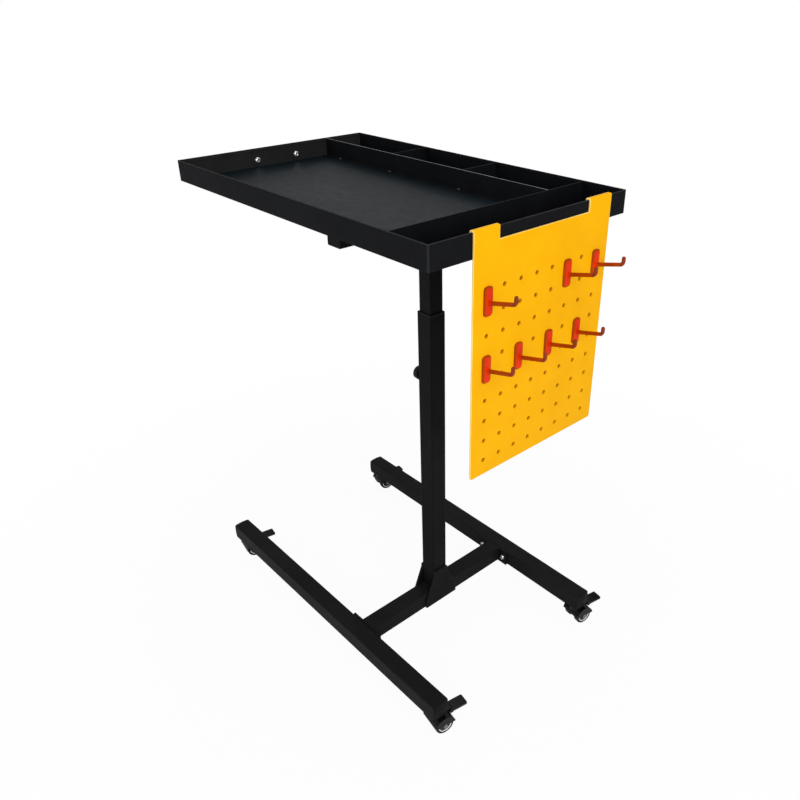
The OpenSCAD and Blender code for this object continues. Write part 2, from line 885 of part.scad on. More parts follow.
module caster_stems() {
  stem_top_h = foot_under_h + foot_wall + weld_nut_h + stem_end;
  color("silver")
    for (i = [0:3])
      at_caster(i) {
        translate([0, 0, socket_foot_h + slip])
          cylinder(d = stem_d, h = stem_top_h - socket_foot_h - slip);
        translate([0, 0, neck_h + slip])
          cylinder(d = stem_collar_d, h = foot_under_h - neck_h - slip);
      }
}

module caster_hood(i) {
  color([0.06, 0.06, 0.06])
    at_caster(i)
      difference() {
        union() {
          intersection() {
            along_axle(hood_half_w) cylinder(r = hood_r, h = 2 * hood_half_w);
            translate([-hood_half_w - 1, trail - hood_r - 1, hood_edge_h])
              cube([2 * hood_half_w + 2, 2 * hood_r + 2, hood_r + wheel_r]);
          }
          translate([0, 0, socket_foot_h]) cylinder(d = neck_d, h = neck_h - socket_foot_h);
          along_axle(hub_w / 2) cylinder(r = hub_r, h = hub_w);
          translate([-hub_w / 2, trail - hub_r, wheel_r])
            cube([hub_w, 2 * hub_r, hood_r - hood_wall]);
          translate([-hub_w / 2, trail, pedal_pivot_h - pedal_eye_r])
            cube([hub_w, pedal_pivot_y - trail, 2 * pedal_eye_r]);
          translate([-hub_w / 2, pedal_pivot_y, pedal_pivot_h])
            rotate([0, 90, 0]) cylinder(r = pedal_eye_r, h = hub_w);
        }
        for (sx = [-1, 1])
          translate([sx * (hub_w / 2 + wheel_outer_x + hood_gap) / 2, 0, 0])
            along_axle((wheel_outer_x + hood_gap - hub_w / 2) / 2)
              cylinder(r = wheel_r + hood_gap, h = wheel_outer_x + hood_gap - hub_w / 2);
        for (sx = [-1, 1])
          translate([sx * hood_half_w, 0, 0])
            along_axle(hood_wall) cylinder(r = axle_head_r + hood_gap, h = 2 * hood_wall);
        along_axle(hub_w) cylinder(d = axle_d + 2 * spin_slip, h = 2 * hub_w);
        translate([0, 0, socket_foot_h])
          cylinder(d = stem_d + 2 * spin_slip, h = neck_h - socket_foot_h + 1);
        translate([-hub_w / 2 - 1, pedal_pivot_y, pedal_pivot_h])
          rotate([0, 90, 0]) cylinder(d = pedal_pin_d + 2 * spin_slip, h = hub_w + 2);
      }
}

module caster_axle(i) {
  color("silver")
    at_caster(i) {
      along_axle(axle_half) cylinder(d = axle_d, h = 2 * axle_half);
      for (sx = [-1, 1])
        translate([sx * (axle_half + axle_head_t / 2), 0, 0])
          along_axle(axle_head_t / 2) cylinder(r = axle_head_r, h = axle_head_t);
    }
}

module wheel_section() {
  tread_r = 2;
  dish = 1.5;
  half = wheel_w / 2;
  polygon([
    [axle_d / 2 + spin_slip, -half], [wheel_nave_r, -half], [wheel_nave_r, dish - half],
    [wheel_rim_r, dish - half], [wheel_rim_r, -half], [wheel_r - tread_r, -half],
    [wheel_r, tread_r - half], [wheel_r, half - tread_r], [wheel_r - tread_r, half],
    [wheel_rim_r, half], [wheel_rim_r, half - dish], [wheel_nave_r, half - dish], [wheel_nave_r, half],
    [axle_d / 2 + spin_slip, half]
  ]);
}

module caster_wheels(i) {
  color([0.04, 0.04, 0.04])
    at_caster(i)
      for (sx = [-1, 1])
        translate([sx * (wheel_inner_x + wheel_outer_x) / 2, 0, 0])
          along_axle(0) rotate_extrude() wheel_section();
}

module brake_pedal(i) {
  corner_r = 3;
  plate_y = pedal_pivot_y + pedal_eye_r + slip;
  plate_len = pedal_reach - plate_y;
  color([0.07, 0.07, 0.07])
    at_caster(i) {
      translate([-pedal_w / 2, pedal_pivot_y, pedal_pivot_h])
        rotate([0, 90, 0]) cylinder(d = pedal_pin_d, h = pedal_w);
      for (sx = [-1, 1])
        translate([sx * (pedal_arm_x + pedal_arm_w / 2), 0, 0]) {
          translate([-pedal_arm_w / 2, pedal_pivot_y, pedal_pivot_h])
            rotate([0, 90, 0]) cylinder(r = pedal_eye_r, h = pedal_arm_w);
          translate([-pedal_arm_w / 2, pedal_pivot_y, pedal_pivot_h - pedal_t / 2])
            cube([pedal_arm_w, plate_y - pedal_pivot_y + 1, pedal_t]);
        }
      translate([0, plate_y + plate_len / 2, pedal_pivot_h - pedal_t / 2])
        linear_extrude(pedal_t) rounded_rect(pedal_w, plate_len, corner_r);
    }
}

// Pegboard, hung on the tray's right rim by two tabs

// Outline of the sheet, seen from its face: Y to the right and Z up
module board_outline() {
  mid_h = (board_under_h + board_top_h) / 2;
  translate([board_shift, mid_h])
    rounded_rect(board_wid, board_top_h - board_under_h, board_corner_r);
  translate([board_y0, mid_h]) square([board_wid, board_top_h - mid_h]);
  translate([board_y0, mid_h]) square([front_tab, rim_h + board_t - mid_h]);
  translate([board_y1 - back_tab, mid_h]) square([back_tab, rim_h + board_t - mid_h]);
}

module tab_fold(y, wid) {
  lip_x = half_len - hem_t - slip - board_t;
  translate([lip_x, y, rim_h]) cube([board_face_x - lip_x, wid, board_t]);
  translate([lip_x, y, rim_h - lip_h]) cube([board_t, wid, lip_h + eps]);
}

module pegboard() {
  color([0.98, 0.72, 0.03])
    at_table() {
      translate([board_back_x, 0, 0])
        rotate([90, 0, 90])
          linear_extrude(board_t)
            difference() {
              board_outline();
              for (column = [1:peg_columns], row = [1:peg_rows])
                translate([peg_y(column), peg_z(row)]) circle(d = peg_hole_d);
            }
      tab_fold(board_y0, front_tab);
      tab_fold(board_y1 - back_tab, back_tab);
    }
}

// Thin sheet behind the holes, pierced where hooks are pegged in
module board_backing() {
  foot_h = board_under_h + backing_margin;
  color([0.62, 0.4, 0.06])
    at_table()
      translate([board_back_x - backing_t, 0, 0])
        rotate([90, 0, 90])
          linear_extrude(backing_t)
            difference() {
              translate([board_y0 + backing_margin, foot_h])
                square([board_wid - 2 * backing_margin, backing_top_h - foot_h]);
              for (hook = HOOKS, row = [hook[2], hook[2] + 1])
                translate([peg_y(hook[1]), peg_z(row)]) circle(d = peg_hole_d);
            }
}

// Hook from its plate's middle on the pegboard's face, reaching along +X
module hook(column, row) {
  tip_x = hook_reach - hook_ball_d / 2;
  tilt = atan2(hook_rise, tip_x);
  arm_len = tip_x / cos(tilt);
  root = hook_plate_t / 2;
  tip_round = 1.5;
  peg_d = peg_hole_d - 2 * bolt_slip;
  color([0.88, 0.22, 0.06])
    at_table()
      translate([board_face_x, peg_y(column), peg_z(row) - peg_pitch / 2]) {
        rotate([90, 0, 90])
          linear_extrude(hook_plate_t)
            rounded_rect(hook_plate_w, peg_pitch + hook_plate_over, hook_plate_r);
        for (sz = [-1, 1])
          translate([-board_t - peg_tail, 0, sz * peg_pitch / 2])
            rotate([0, 90, 0]) cylinder(d = peg_d, h = board_t + peg_tail + 1);
        translate([0, 0, -hook_root_drop]) {
          rotate([0, 90 - tilt, 0])
            translate([0, 0, root]) cylinder(d = hook_arm_d, h = arm_len - root);
          translate([tip_x, 0, hook_rise]) {
            sphere(d = hook_ball_d);
            cylinder(d = hook_arm_d, h = hook_tip_h - tip_round);
            translate([0, 0, hook_tip_h - tip_round])
              cylinder(d1 = hook_arm_d, d2 = hook_arm_d - 2 * tip_round, h = tip_round);
          }
        }
      }
}

tray_pan();
cross_divider();
long_divider();
left_partition();
right_partition();
divider_screws();
divider_nuts();
tray_handle();
handle_bolts();
support_bar();
support_bar_caps();
tray_screws();
head_plate();
head_bolts();
inner_column();
column_glide();
column_bush();
outer_column();
knob_boss();
lock_stud();
lock_knob();
left_cheek_plate();
right_cheek_plate();
crossbar();
front_flange();
back_flange();
flange_bolts();
front_foot();
back_foot();
foot_caps();
caster_stems();
for (i = [0:3]) {
  caster_hood(i);
  caster_axle(i);
  caster_wheels(i);
  brake_pedal(i);
}
pegboard();
board_backing();
for (hook = HOOKS)
  hook(hook[1], hook[2]);
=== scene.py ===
import json
import math

import bmesh
import bpy
from mathutils import Matrix, Quaternion, Vector


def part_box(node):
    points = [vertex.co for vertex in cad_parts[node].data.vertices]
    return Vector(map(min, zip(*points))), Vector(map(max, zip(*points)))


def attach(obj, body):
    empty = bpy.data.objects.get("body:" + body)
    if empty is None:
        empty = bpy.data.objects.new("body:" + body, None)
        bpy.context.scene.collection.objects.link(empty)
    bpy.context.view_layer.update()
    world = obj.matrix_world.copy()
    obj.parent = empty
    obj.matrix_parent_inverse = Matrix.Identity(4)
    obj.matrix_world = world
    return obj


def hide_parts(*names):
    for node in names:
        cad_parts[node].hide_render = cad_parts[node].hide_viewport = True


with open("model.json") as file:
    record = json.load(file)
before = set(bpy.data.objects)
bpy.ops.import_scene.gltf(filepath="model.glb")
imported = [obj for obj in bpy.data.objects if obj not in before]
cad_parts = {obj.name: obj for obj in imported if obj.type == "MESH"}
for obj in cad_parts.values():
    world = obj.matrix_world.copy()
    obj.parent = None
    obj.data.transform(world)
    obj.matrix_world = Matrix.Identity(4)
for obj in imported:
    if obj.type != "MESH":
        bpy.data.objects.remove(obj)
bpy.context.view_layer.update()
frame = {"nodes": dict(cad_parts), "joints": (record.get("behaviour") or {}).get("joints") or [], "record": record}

# Mobile lift table: +X is the pegboard's end, -Y the front, lengths in metres
mm = 0.001
bodyOf = {node: body for body, nodes in frame["record"]["behaviour"]["bodies"].items() for node in nodes}
jointOf = {joint["name"]: joint for joint in frame["joints"]}
sides = ["front_left", "front_right", "back_left", "back_right"]
hookNodes = sorted(node for node in frame["nodes"] if node.startswith("hook_"))
alongX, alongY, alongZ = Vector((1, 0, 0)), Vector((0, 1, 0)), Vector((0, 0, 1))

# A face looks along an axis where its normal's share on that axis is above this
facing = 0.9


# Materials

def startMaterial(name):
    material = bpy.data.materials.new(name)
    material.use_nodes = True
    return material, material.node_tree, material.node_tree.nodes["Principled BSDF"]


# Scale, detail, roughness and stretch of each noise
even = (1, 1, 1)
noises = {
    "mottle": (14, 4, 0.6, even), "rubbing": (55, 9, 0.72, (1, 1.6, 2.2)),
    "scratches": (160, 4, 0.6, (0.12, 1, 1)), "peel": (900, 1.5, 0.4, even), "waves": (60, 2, 0.4, even),
    "clouds": (220, 5, 0.6, even), "brushing": (700, 3, 0.5, (0.15, 1, 1)),
    "flow": (45, 3, 0.5, even), "dust": (400, 6, 0.7, even), "texture": (2600, 2, 0.5, even),
    "fibres": (1800, 6, 0.75, (1, 1, 0.6)), "patches": (30, 3, 0.5, even),
}


def addNoise(tree, name):
    scale, detail, roughness, stretch = noises[name]
    coordinates = tree.nodes.new("ShaderNodeTexCoord")
    mapping = tree.nodes.new("ShaderNodeMapping")
    noise = tree.nodes.new("ShaderNodeTexNoise")
    mapping.inputs["Scale"].default_value = stretch
    noise.inputs["Scale"].default_value = scale
    noise.inputs["Detail"].default_value = detail
    noise.inputs["Roughness"].default_value = roughness
    tree.links.new(coordinates.outputs["Object"], mapping.inputs["Vector"])
    tree.links.new(mapping.outputs["Vector"], noise.inputs["Vector"])
    return noise.outputs["Fac"]


def addRamp(tree, value, low, high, start=0.3, end=0.7):
    ramp = tree.nodes.new("ShaderNodeValToRGB")
    ramp.color_ramp.elements[0].position = start
    ramp.color_ramp.elements[1].position = end
    ramp.color_ramp.elements[0].color = (*low, 1)
    ramp.color_ramp.elements[1].color = (*high, 1)
    tree.links.new(value, ramp.inputs["Fac"])
    return ramp.outputs["Color"]


def addRange(tree, value, low, high, start=0.3, end=0.7):
    spread = tree.nodes.new("ShaderNodeMapRange")
    spread.inputs["From Min"].default_value = start
    spread.inputs["From Max"].default_value = end
    spread.inputs["To Min"].default_value = low
    spread.inputs["To Max"].default_value = high
    tree.links.new(value, spread.inputs["Value"])
    return spread.outputs["Result"]


def mixColors(tree, factor, first, second):
    mix = tree.nodes.new("ShaderNodeMix")
    mix.data_type = "RGBA"
    tree.links.new(factor, mix.inputs["Factor"])
    tree.links.new(first, mix.inputs["A"])
    tree.links.new(second, mix.inputs["B"])
    return mix.outputs["Result"]


def addBump(tree, shader, heights):
    normal = None
    for height, strength, distance in heights:
        bump = tree.nodes.new("ShaderNodeBump")
        bump.inputs["Strength"].default_value = strength
        bump.inputs["Distance"].default_value = distance
        tree.links.new(height, bump.inputs["Height"])
        if normal:
            tree.links.new(normal, bump.inputs["Normal"])
        normal = bump.outputs["Normal"]
    tree.links.new(normal, shader.inputs["Normal"])


# Each coat's low and high tone, roughness range, gloss, tone and share of its rubbed spots, and its peel
coats = {
    # The tray floor's coat: a glossier, bluer copy of the wall coat, a painted sheen
    "floor_sheen_coat": {"low": (0.0022, 0.0052, 0.0075), "high": (0.0042, 0.0086, 0.0118), "rough": (0.36, 0.5),
                   "gloss": 0.093, "rub": (0.015, 0.02, 0.025), "rubShare": 0.3, "peel": 0.06},
    # A lighter copy of the tray's coat, painted light on the left wall's inside and the tray's corners
    "lit_coat": {"low": (0.013, 0.0133, 0.014), "high": (0.019, 0.0193, 0.02), "rough": (0.36, 0.5),
                 "gloss": 0.1, "rub": (0.03, 0.03, 0.031), "rubShare": 0.3, "peel": 0.06},
    "wall_coat": {"low": (0.0042, 0.0045, 0.0058), "high": (0.0066, 0.0071, 0.0088), "rough": (0.4, 0.54),
                  "gloss": 0.055, "rub": (0.013, 0.0136, 0.0158), "rubShare": 0.3, "peel": 0.06},
    # Pale, glossy look for rounded edges of the tray, hoods and pedals: a painted highlight, with rubbed spots
    "rim_highlight": {"low": (0.035, 0.036, 0.039), "high": (0.085, 0.087, 0.092), "rough": (0.28, 0.42),
                 "gloss": 0.35, "rub": (0.2, 0.2, 0.2), "rubShare": 0.5, "peel": 0.02},
    # Bright, glossy look on the long divider's top edge: a painted highlight
    "highlight_edge": {"low": (0.1, 0.1, 0.102), "high": (0.3, 0.3, 0.295), "rough": (0.28, 0.42),
                  "gloss": 0.5, "rub": (0.4, 0.4, 0.39), "rubShare": 0.6, "peel": 0.02},
    "black_coat": {"low": (0.0056, 0.0057, 0.0062), "high": (0.0086, 0.0087, 0.0096), "rough": (0.4, 0.56),
                   "gloss": 0.05, "rub": (0.014, 0.0145, 0.0155), "rubShare": 0.3, "peel": 0.07},
    # A lighter copy of black_coat, painted light on the crossbar and feet
    "lit_foot_coat": {"low": (0.0076, 0.0077, 0.0082), "high": (0.0114, 0.0115, 0.0124), "rough": (0.4, 0.56),
                  "gloss": 0.05, "rub": (0.019, 0.0195, 0.0205), "rubShare": 0.3, "peel": 0.07},
    "black_edge": {"low": (0.006, 0.0064, 0.007), "high": (0.012, 0.0126, 0.0136), "rough": (0.3, 0.44),
                   "gloss": 0.2, "rub": (0.05, 0.05, 0.052), "rubShare": 0.4, "peel": 0.03},
    "yellow_coat": {"low": (0.87, 0.41, 0.0004), "high": (0.93, 0.455, 0.0008), "rough": (0.42, 0.52),
                    "gloss": 0.05, "rub": (0.93, 0.48, 0.02), "rubShare": 0.22, "peel": 0.04},
    # Paler yellow for the pegboard's cut edges and fold: a painted highlight
    "yellow_highlight": {"low": (0.95, 0.6, 0.09), "high": (1.0, 0.78, 0.3), "rough": (0.3, 0.45),
                    "gloss": 0.35, "rub": (0.9, 0.76, 0.42), "rubShare": 0.4, "peel": 0.02},
    "black_screw": {"low": (0.006, 0.006, 0.0065), "high": (0.013, 0.013, 0.014), "rough": (0.28, 0.42),
                    "gloss": 0.35, "rub": (0.06, 0.06, 0.06), "rubShare": 0.4, "peel": 0.02},
}
metals = {
    "zinc": {"low": (0.55, 0.55, 0.54), "high": (0.78, 0.78, 0.76), "rough": (0.18, 0.36)},
    "dark_zinc": {"low": (0.2, 0.2, 0.2), "high": (0.36, 0.36, 0.35), "rough": (0.25, 0.45)},
}
plastics = {
    "matt_black": {"low": (0.004, 0.004, 0.0044), "high": (0.008, 0.008, 0.0088), "rough": (0.42, 0.6),
                   "gloss": 0.22, "grain": 0.22},
    "cap_black": {"low": (0.0035, 0.0035, 0.0038), "high": (0.0065, 0.0065, 0.007), "rough": (0.5, 0.68),
                  "gloss": 0.08, "grain": 0.22},
    "gloss_black": {"low": (0.0035, 0.0035, 0.0038), "high": (0.006, 0.006, 0.0066), "rough": (0.05, 0.14),
                    "gloss": 0.18, "grain": 0.03},
    # White look for a ring on each wheel's side
    "wheel_white_ring": {"low": (0.75, 0.75, 0.75), "high": (0.92, 0.92, 0.92), "rough": (0.15, 0.3),
                   "gloss": 0.4, "grain": 0.03},
    "tyre_black": {"low": (0.004, 0.004, 0.0042), "high": (0.008, 0.008, 0.0082), "rough": (0.12, 0.26),
                   "gloss": 0.25, "grain": 0.06},
    "hook_red": {"low": (0.65, 0.022, 0.0015), "high": (0.83, 0.036, 0.003), "rough": (0.28, 0.42),
                 "gloss": 0.09, "grain": 0.05},
    # A darker copy of hook_red, painted shade on the arms and the plates' rims
    "hook_arm_shade": {"low": (0.34, 0.04, 0.0008), "high": (0.44, 0.058, 0.001), "rough": (0.32, 0.5),
                 "gloss": 0.08, "grain": 0.05},
    # An even darker copy of hook_red, painted shade on the arms' tips
    "hook_tip_shade": {"low": (0.2, 0.03, 0.012), "high": (0.28, 0.042, 0.018), "rough": (0.32, 0.5),
                 "gloss": 0.08, "grain": 0.05},
}
# The backing sheet's dark ochre stands in for the shade seen through the peg holes: painted shade
ochre = {"low": (0.17, 0.062, 0.0005), "high": (0.26, 0.1, 0.001), "fadedLow": (0.22, 0.085, 0.0005),
         "fadedHigh": (0.32, 0.13, 0.002), "rough": 0.85, "gloss": 0.1, "grain": 0.3}
# Where in its noise a coat is rubbed or scratched, and how deep each relief goes
wear = {"rubFrom": 0.5, "rubTo": 0.85, "scratchFrom": 0.58, "scratchTo": 0.75}
relief = {"wave": 0.4 * mm, "peel": 0.2 * mm, "grain": 0.1 * mm, "flowShare": 0.5, "brushing": 0.08}


def powderCoat(name, look):
    material, tree, shader = startMaterial(name)
    mottle = addNoise(tree, "mottle")
    rubbing = addNoise(tree, "rubbing")
    scratches = addNoise(tree, "scratches")
    tone = addRamp(tree, mottle, look["low"], look["high"])
    rubbed = addRamp(tree, rubbing, look["low"], look["rub"], wear["rubFrom"], wear["rubTo"])
    share = addRange(tree, scratches, 0, look["rubShare"], wear["scratchFrom"], wear["scratchTo"])
    tree.links.new(mixColors(tree, share, tone, rubbed), shader.inputs["Base Color"])
    tree.links.new(addRange(tree, rubbing, *look["rough"]), shader.inputs["Roughness"])
    shader.inputs["Specular IOR Level"].default_value = look["gloss"]
    peel = addNoise(tree, "peel")
    waves = addNoise(tree, "waves")
    addBump(tree, shader, [(waves, look["peel"], relief["wave"]), (peel, look["peel"], relief["peel"])])
    return material


def zincPlate(name, look):
    material, tree, shader = startMaterial(name)
    clouds = addNoise(tree, "clouds")
    brushing = addNoise(tree, "brushing")
    tree.links.new(addRamp(tree, clouds, look["low"], look["high"]), shader.inputs["Base Color"])
    tree.links.new(addRange(tree, brushing, *look["rough"]), shader.inputs["Roughness"])
    shader.inputs["Metallic"].default_value = 1
    addBump(tree, shader, [(brushing, relief["brushing"], relief["grain"])])
    return material


def mouldedPlastic(name, look):
    material, tree, shader = startMaterial(name)
    flow = addNoise(tree, "flow")
    dust = addNoise(tree, "dust")
    texture = addNoise(tree, "texture")
    tree.links.new(addRamp(tree, flow, look["low"], look["high"]), shader.inputs["Base Color"])
    tree.links.new(addRange(tree, dust, *look["rough"]), shader.inputs["Roughness"])
    shader.inputs["Specular IOR Level"].default_value = look["gloss"]
    addBump(tree, shader, [(flow, look["grain"] * relief["flowShare"], relief["wave"]),
                           (texture, look["grain"], relief["grain"])])
    return material


def ochreSheet(name):
    material, tree, shader = startMaterial(name)
    fibres = addNoise(tree, "fibres")
    patches = addNoise(tree, "patches")
    tone = addRamp(tree, fibres, ochre["low"], ochre["high"])
    faded = addRamp(tree, fibres, ochre["fadedLow"], ochre["fadedHigh"])
    tree.links.new(mixColors(tree, addRange(tree, patches, 0, 1), tone, faded), shader.inputs["Base Color"])
    shader.inputs["Roughness"].default_value = ochre["rough"]
    shader.inputs["Specular IOR Level"].default_value = ochre["gloss"]
    addBump(tree, shader, [(fibres, ochre["grain"], relief["peel"])])
    return material


looks = {name: powderCoat(name, look) for name, look in coats.items()}
looks.update({name: zincPlate(name, look) for name, look in metals.items()})
looks.update({name: mouldedPlastic(name, look) for name, look in plastics.items()})
looks["ochre_shade_sheet"] = ochreSheet("ochre_shade_sheet")
print("materials ready")


# Shapes

# Vertices closer than merge become one, and faces within flat degrees of each other one face
cleaning = {"merge": 0.01 * mm, "flat": 1}


def copyNode(nodeName):
    bm = bmesh.new()
    bm.from_mesh(frame["nodes"][nodeName].data)
    bmesh.ops.remove_doubles(bm, verts=bm.verts, dist=cleaning["merge"])
    bmesh.ops.dissolve_limit(bm, angle_limit=math.radians(cleaning["flat"]), verts=bm.verts, edges=bm.edges)
    return bm


def roundEdges(bm, width, segments=2, angle=35, edgeLook=-1, chosen=None):
    sharp = [edge for edge in bm.edges
             if edge.is_manifold and edge.calc_face_angle(0) > math.radians(angle)
             and (chosen is None or chosen(edge))]
    if sharp:
        bmesh.ops.bevel(bm, geom=sharp, offset=width, offset_type="OFFSET", affect="EDGES",
                        segments=segments, profile=0.5, material=edgeLook, clamp_overlap=True)


def placeAlong(place, direction, turn=0.0):
    return (Matrix.Translation(place) @ Vector(direction).to_track_quat("Z", "Y").to_matrix().to_4x4()
            @ Matrix.Rotation(turn, 4, "Z"))


def loft(bm, rings):
    # Circles of (matrix, radius, corners), each joined to the next, with both ends closed
    loops = []
    for index, (matrix, radius, corners) in enumerate(rings):
        made = bmesh.ops.create_circle(bm, cap_ends=index in (0, len(rings) - 1), segments=corners,
                                       radius=radius, matrix=matrix)
        loops.append(list(dict.fromkeys(edge for vert in made["verts"] for edge in vert.link_edges)))
    for first, second in zip(loops, loops[1:]):
        bmesh.ops.bridge_loops(bm, edges=first + second)


def addBox(bm, middle, size, turn=Matrix.Identity(4)):
    return bmesh.ops.create_cube(bm, size=1, matrix=Matrix.Translation(middle) @ turn
                                 @ Matrix.Diagonal((*size, 1)))["verts"]


def finishPiece(name, bm, replaced, looksUsed, smoothAngle=35, body=None):
    bmesh.ops.recalc_face_normals(bm, faces=bm.faces)
    mesh = bpy.data.meshes.new(name)
    bm.to_mesh(mesh)
    bm.free()
    for lookName in looksUsed:
        mesh.materials.append(looks[lookName])
    mesh.shade_smooth()
    mesh.set_sharp_from_angle(angle=math.radians(smoothAngle))
    piece = bpy.data.objects.new(name, mesh)
    bpy.context.scene.collection.objects.link(piece)
    weighted = piece.modifiers.new("even_shading", "WEIGHTED_NORMAL")
    weighted.keep_sharp = True
    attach(piece, body or bodyOf[replaced[0]])
    if replaced:
        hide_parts(*replaced)
    return piece


def coverNode(nodeName, width, looksUsed, segments=2, angle=35):
    # A node with its edges rounded, the second look showing along them
    bm = copyNode(nodeName)
    roundEdges(bm, width, segments, angle, 1 if len(looksUsed) > 1 else -1)
    return finishPiece(nodeName + "_skin", bm, [nodeName], looksUsed)


def paintNode(nodeName, lookName):
    mesh = frame["nodes"][nodeName].data
    mesh.materials.clear()
    mesh.materials.append(looks[lookName])


# Tray: folded sheet with rounded edges, worn and given a painted highlight along them

tray = {"edge": 0.7 * mm, "sheetEdge": 0.35 * mm, "handleEdge": 0.3 * mm, "wallReach": 10 * mm,
        "partitionHalf": 0.75 * mm, "cornerTurn": 0.2, "cornerTilt": 0.1}
trayLooks = ["wall_coat", "rim_highlight", "floor_sheen_coat", "lit_coat"]
bm = copyNode("tray_pan")
low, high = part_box("tray_pan")
# The rounded edges take the second look, a painted highlight
roundEdges(bm, tray["edge"], edgeLook=1)
bm.normal_update()
for face in bm.faces:
    # Painted light: the floor gets a glossier, bluer copy of the coat as a painted sheen, and the left wall's
    # inside and the corners a lighter copy of it
    middle = face.calc_center_median()
    onCorner = (min(abs(face.normal.x), abs(face.normal.y)) > tray["cornerTurn"]
                and abs(face.normal.z) < tray["cornerTilt"])
    onLeftWall = face.normal.x > facing and middle.x < low.x + tray["wallReach"]
    if face.normal.z > facing and middle.z < (low.z + high.z) / 2:
        face.material_index = trayLooks.index("floor_sheen_coat")
    elif onLeftWall or onCorner:
        face.material_index = trayLooks.index("lit_coat")
finishPiece("tray_pan_skin", bm, ["tray_pan"], trayLooks)
for nodeName in ("cross_divider", "left_partition", "right_partition"):
    coverNode(nodeName, tray["sheetEdge"], ["wall_coat", "black_edge"])
bm = copyNode("long_divider")
roundEdges(bm, tray["sheetEdge"])
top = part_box("long_divider")[1].z
for face in bm.faces:
    # Only the divider's upper edge gets the bright look, a painted highlight
    face.material_index = int(face.calc_center_median().z > top - tray["sheetEdge"])
finishPiece("long_divider_skin", bm, ["long_divider"], ["wall_coat", "highlight_edge"])
coverNode("tray_handle", tray["handleEdge"], ["black_coat"], angle=50)
print("tray ready")


# Screws: rings from the hexagon socket's floor over the dome, then down the shank

# Shares of the head's radius or height, but lip and domeStart are shares of the socket's radius
screw = {"socketShare": 0.36, "socketDepthShare": 0.55, "socketTop": 0.97, "socketSides": 6,
         "lipHeight": 0.99, "lip": 1.2, "domeStart": 1.3, "domeTop": 0.985, "domeSteps": 5,
         "rimShare": 0.12, "corners": 28, "turnStep": 0.7, "flushEdge": 0.2 * mm}


def addScrew(bm, seat, outward, size, turn):
    base = placeAlong(seat, outward, turn)
    at = lambda height: base @ Matrix.Translation((0, 0, height))
    headRadius, headHeight = size["radius"], size["height"]
    socket = headRadius * screw["socketShare"]
    rim = headHeight * screw["rimShare"]
    rings = [(at(headHeight * (1 - screw["socketDepthShare"])), socket, screw["socketSides"]),
             (at(headHeight * screw["socketTop"]), socket, screw["socketSides"]),
             (at(headHeight * screw["lipHeight"]), socket * screw["lip"], screw["corners"])]
    start = socket * screw["domeStart"]
    rise = headHeight * screw["domeTop"] - rim
    for step in range(screw["domeSteps"] + 1):
        slope = math.pi / 2 * step / screw["domeSteps"]
        rings.append((at(rim + rise * math.cos(slope)), start + (headRadius - start) * math.sin(slope),
                      screw["corners"]))
    rings += [(at(0), headRadius, screw["corners"]), (at(0), size["shank"], screw["corners"]),
              (at(-size["length"]), size["shank"], screw["corners"])]
    loft(bm, rings)


def screwGroup(nodeName, seats, size, lookName):
    bm = bmesh.new()
    for index, (seat, outward) in enumerate(seats):
        addScrew(bm, Vector(seat), outward, size, index * screw["turnStep"])
    finishPiece(nodeName + "_turned", bm, [nodeName], [lookName], smoothAngle=30)


handleBolt = {"radius": 7.5 * mm, "height": 4.5 * mm, "shank": 2.5 * mm, "length": 12.5 * mm}
low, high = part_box("handle_bolts")
screwGroup("handle_bolts",
           [((high.x - handleBolt["height"], y, (low.z + high.z) / 2), alongX)
            for y in (low.y + handleBolt["radius"], high.y - handleBolt["radius"])], handleBolt, "zinc")

dividerScrew = {"radius": 3.75 * mm, "height": 2.2 * mm, "shank": 2 * mm, "length": 7 * mm}
low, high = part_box("divider_screws")
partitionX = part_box("left_partition")[0].x + tray["partitionHalf"]
dividerXs = [low.x + dividerScrew["radius"], partitionX, high.x - dividerScrew["radius"]]
screwGroup("divider_screws",
           [((x, (low.y + high.y) / 2, high.z - dividerScrew["height"]), alongZ) for x in dividerXs],
           dividerScrew, "black_screw")

flangeBolt = {"radius": 6.5 * mm, "height": 5 * mm, "shank": 4 * mm, "length": 12 * mm}
low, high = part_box("flange_bolts")
flangeXs = [low.x + flangeBolt["radius"], high.x - flangeBolt["radius"]]
flangeZ = (low.z + high.z) / 2
screwGroup("flange_bolts",
           [((x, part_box("front_flange")[1].y, flangeZ), alongY) for x in flangeXs]
           + [((x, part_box("back_flange")[0].y, flangeZ), -alongY) for x in flangeXs], flangeBolt, "zinc")
for nodeName, lookName in (("divider_nuts", "dark_zinc"), ("head_bolts", "dark_zinc"),
                           ("lock_stud", "zinc"), ("caster_stems", "zinc")):
    paintNode(nodeName, lookName)
coverNode("tray_screws", screw["flushEdge"], ["black_screw"])
print("screws ready")


# Column, head and base: powder-coated tube with plates

steel = {"edge": 0.6 * mm, "plateEdge": 0.8 * mm, "capEdge": 0.7 * mm, "knobEdge": 0.9 * mm}
for nodeName in ("inner_column", "outer_column", "support_bar"):
    coverNode(nodeName, steel["edge"], ["black_coat", "black_edge"], angle=40)
# The crossbar and feet take the lighter copy of the frame's coat, painted light
for nodeName in ("crossbar", "front_foot", "back_foot"):
    coverNode(nodeName, steel["edge"], ["lit_foot_coat", "black_edge"], angle=40)
for nodeName in ("left_cheek_plate", "right_cheek_plate", "front_flange", "back_flange", "head_plate",
                 "knob_boss"):
    coverNode(nodeName, steel["plateEdge"], ["black_coat", "black_edge"])
for nodeName, lookName in (("support_bar_caps", "cap_black"), ("column_bush", "matt_black"),
                           ("foot_caps", "cap_black")):
    coverNode(nodeName, steel["capEdge"], [lookName])
coverNode("lock_knob", steel["knobEdge"], ["matt_black"], segments=3, angle=30)
paintNode("column_glide", "matt_black")

